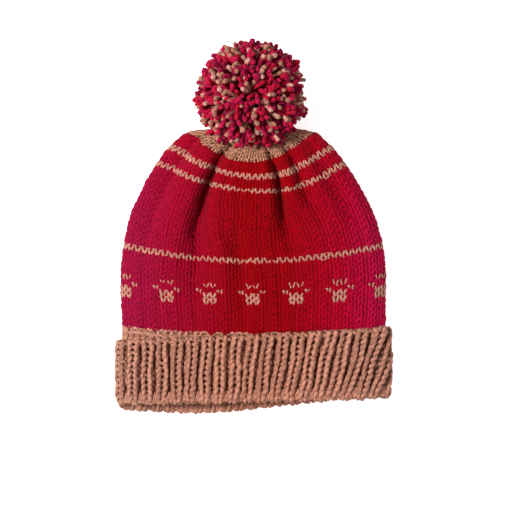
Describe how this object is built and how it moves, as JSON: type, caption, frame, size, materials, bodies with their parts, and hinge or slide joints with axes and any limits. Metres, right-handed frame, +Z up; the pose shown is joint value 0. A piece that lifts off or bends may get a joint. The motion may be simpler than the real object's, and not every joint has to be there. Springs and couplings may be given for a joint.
{
  "type": "bobble hat",
  "caption": "Hand-knitted winter hat lying flat: striped crown gathered under a two-colour yarn pompom, ribbed cuff folded up round the opening.",
  "frame": {"origin": "on the ground plane, below the middle of the hat's bounding box", "axes": "+Y from the head opening to the pompom, +Z up out of the front layer, +X to the right as seen from above"},
  "size_m": [0.2157, 0.2912, 0.0869],
  "materials": {
    "crown_yarn": "matt knitted yarn, crimson with tan stripes and motifs",
    "cuff_yarn": "matt ribbed yarn, tan",
    "pompom_yarn": "cut yarn ends, crimson and tan",
    "tie_yarn": "matt yarn, crimson"
  },
  "bodies": {
    "root": {"crown": "crown_yarn", "folded_cuff": "cuff_yarn", "pompom": "pompom_yarn", "pompom_tie": "tie_yarn"}
  },
  "joints": []
}
